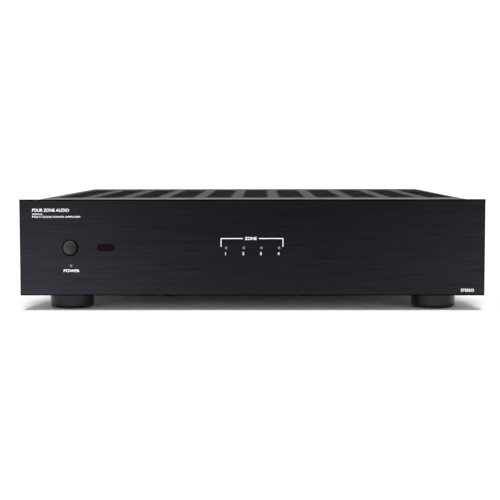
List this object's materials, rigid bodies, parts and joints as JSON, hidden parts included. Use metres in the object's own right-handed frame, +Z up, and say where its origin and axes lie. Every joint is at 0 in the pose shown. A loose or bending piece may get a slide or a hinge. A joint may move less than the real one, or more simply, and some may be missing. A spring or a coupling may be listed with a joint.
{
  "type": "power amplifier",
  "caption": "Low rack-width power amplifier with a thick dark front plate, round power button, remote window, zone lights, slotted sheet-metal cover and round feet.",
  "frame": {"origin": "middle of the overall footprint, on the surface the feet stand on", "axes": "front plate faces -Y, +Z up, +X to the right as seen from the front"},
  "size_m": [0.43, 0.425, 0.1045],
  "materials": {
    "plate": "fine satin powder coat",
    "cover": "fine satin powder coat",
    "case": "zinc plated sheet",
    "rear": "fine satin powder coat",
    "foot": "satin moulded plastic",
    "pad": "matt",
    "screw": "zinc plated",
    "black_screw": "black oxide",
    "button": "satin, dished",
    "spring": "bright wire",
    "window": "infrared filter",
    "black_plastic": "moulded",
    "light": "clear moulded light pipe",
    "board": "solder mask over glass laminate",
    "winding": "varnished copper under film",
    "can": "printed sleeve",
    "alloy": "extruded",
    "nickel": "nickel plated",
    "white": "moulded",
    "red": "moulded",
    "knob": "satin moulded",
    "green": "moulded",
    "cable": "flat cable jacket",
    "lead": "insulation"
  },
  "bodies": {
    "chassis": {"amplifier_board": "board", "board_screws": "screw", "board_spacers": "nickel", "bottom_pan": "case", "control_board": "board", "control_board_spacers": "white", "cover_screws": "black_screw", "filter_capacitors": "can", "foot_front_left": "foot", "foot_front_right": "foot", "foot_pads": "pad", "foot_rear_left": "foot", "foot_rear_right": "foot", "foot_screws": "screw", "front_panel": "plate", "front_panel_screws": "screw", "front_subpanel": "case", "heatsink": "alloy", "indicator_leds": "white", "inlet_blades": "nickel", "input_board": "board", "input_jack_housings": "black_plastic", "input_jack_sleeves": "nickel", "jack_cores_left": "white", "jack_cores_right": "red", "level_pots": "black_plastic", "mains_inlet": "black_plastic", "mains_switch": "black_plastic", "output_chips": "black_plastic", "power_light_pipe": "light", "power_spring": "spring", "power_switch": "black_plastic", "power_wiring": "lead", "rear_panel": "rear", "rear_panel_screws": "black_screw", "rectifier": "black_plastic", "remote_sensor": "black_plastic", "remote_window": "window", "reservoir_capacitors": "can", "ribbon_cable": "cable", "speaker_headers": "green", "speaker_pins": "nickel", "supply_board": "board", "top_cover": "cover", "transformer_bolt": "screw", "transformer_pads": "pad", "transformer_plate": "case", "transformer_winding": "winding", "zone_light_pipes": "light"},
    "button": {"power_button": "button"},
    "rocker": {"mains_rocker": "knob"},
    "level_1": {"level_knob_1": "knob"},
    "level_2": {"level_knob_2": "knob"},
    "level_3": {"level_knob_3": "knob"},
    "level_4": {"level_knob_4": "knob"},
    "level_5": {"level_knob_5": "knob"},
    "level_6": {"level_knob_6": "knob"},
    "level_7": {"level_knob_7": "knob"},
    "level_8": {"level_knob_8": "knob"}
  },
  "joints": [
    {"name": "power_press", "type": "slide", "parent": "chassis", "child": "button", "axis": [0, 1, 0], "range_m": [0, 0.0025], "stiffness_N_per_m": 400, "springref_m": -0.0025, "deforming": ["power_spring"]},
    {"name": "mains_rock", "type": "hinge", "parent": "chassis", "child": "rocker", "pos_m": [-0.122, 0.1995, 0.062], "axis": [1, 0, 0], "range_deg": [-20, 0]},
    {"name": "level_turn_1", "type": "hinge", "parent": "chassis", "child": "level_1", "pos_m": [0.153, 0.2065, 0.082], "axis": [0, 1, 0], "range_deg": [-150, 150]},
    {"name": "level_turn_2", "type": "hinge", "parent": "chassis", "child": "level_2", "pos_m": [0.153, 0.2065, 0.062], "axis": [0, 1, 0], "range_deg": [-150, 150]},
    {"name": "level_turn_3", "type": "hinge", "parent": "chassis", "child": "level_3", "pos_m": [0.091, 0.2065, 0.082], "axis": [0, 1, 0], "range_deg": [-150, 150]},
    {"name": "level_turn_4", "type": "hinge", "parent": "chassis", "child": "level_4", "pos_m": [0.091, 0.2065, 0.062], "axis": [0, 1, 0], "range_deg": [-150, 150]},
    {"name": "level_turn_5", "type": "hinge", "parent": "chassis", "child": "level_5", "pos_m": [0.029, 0.2065, 0.082], "axis": [0, 1, 0], "range_deg": [-150, 150]},
    {"name": "level_turn_6", "type": "hinge", "parent": "chassis", "child": "level_6", "pos_m": [0.029, 0.2065, 0.062], "axis": [0, 1, 0], "range_deg": [-150, 150]},
    {"name": "level_turn_7", "type": "hinge", "parent": "chassis", "child": "level_7", "pos_m": [-0.033, 0.2065, 0.082], "axis": [0, 1, 0], "range_deg": [-150, 150]},
    {"name": "level_turn_8", "type": "hinge", "parent": "chassis", "child": "level_8", "pos_m": [-0.033, 0.2065, 0.062], "axis": [0, 1, 0], "range_deg": [-150, 150]}
  ]
}
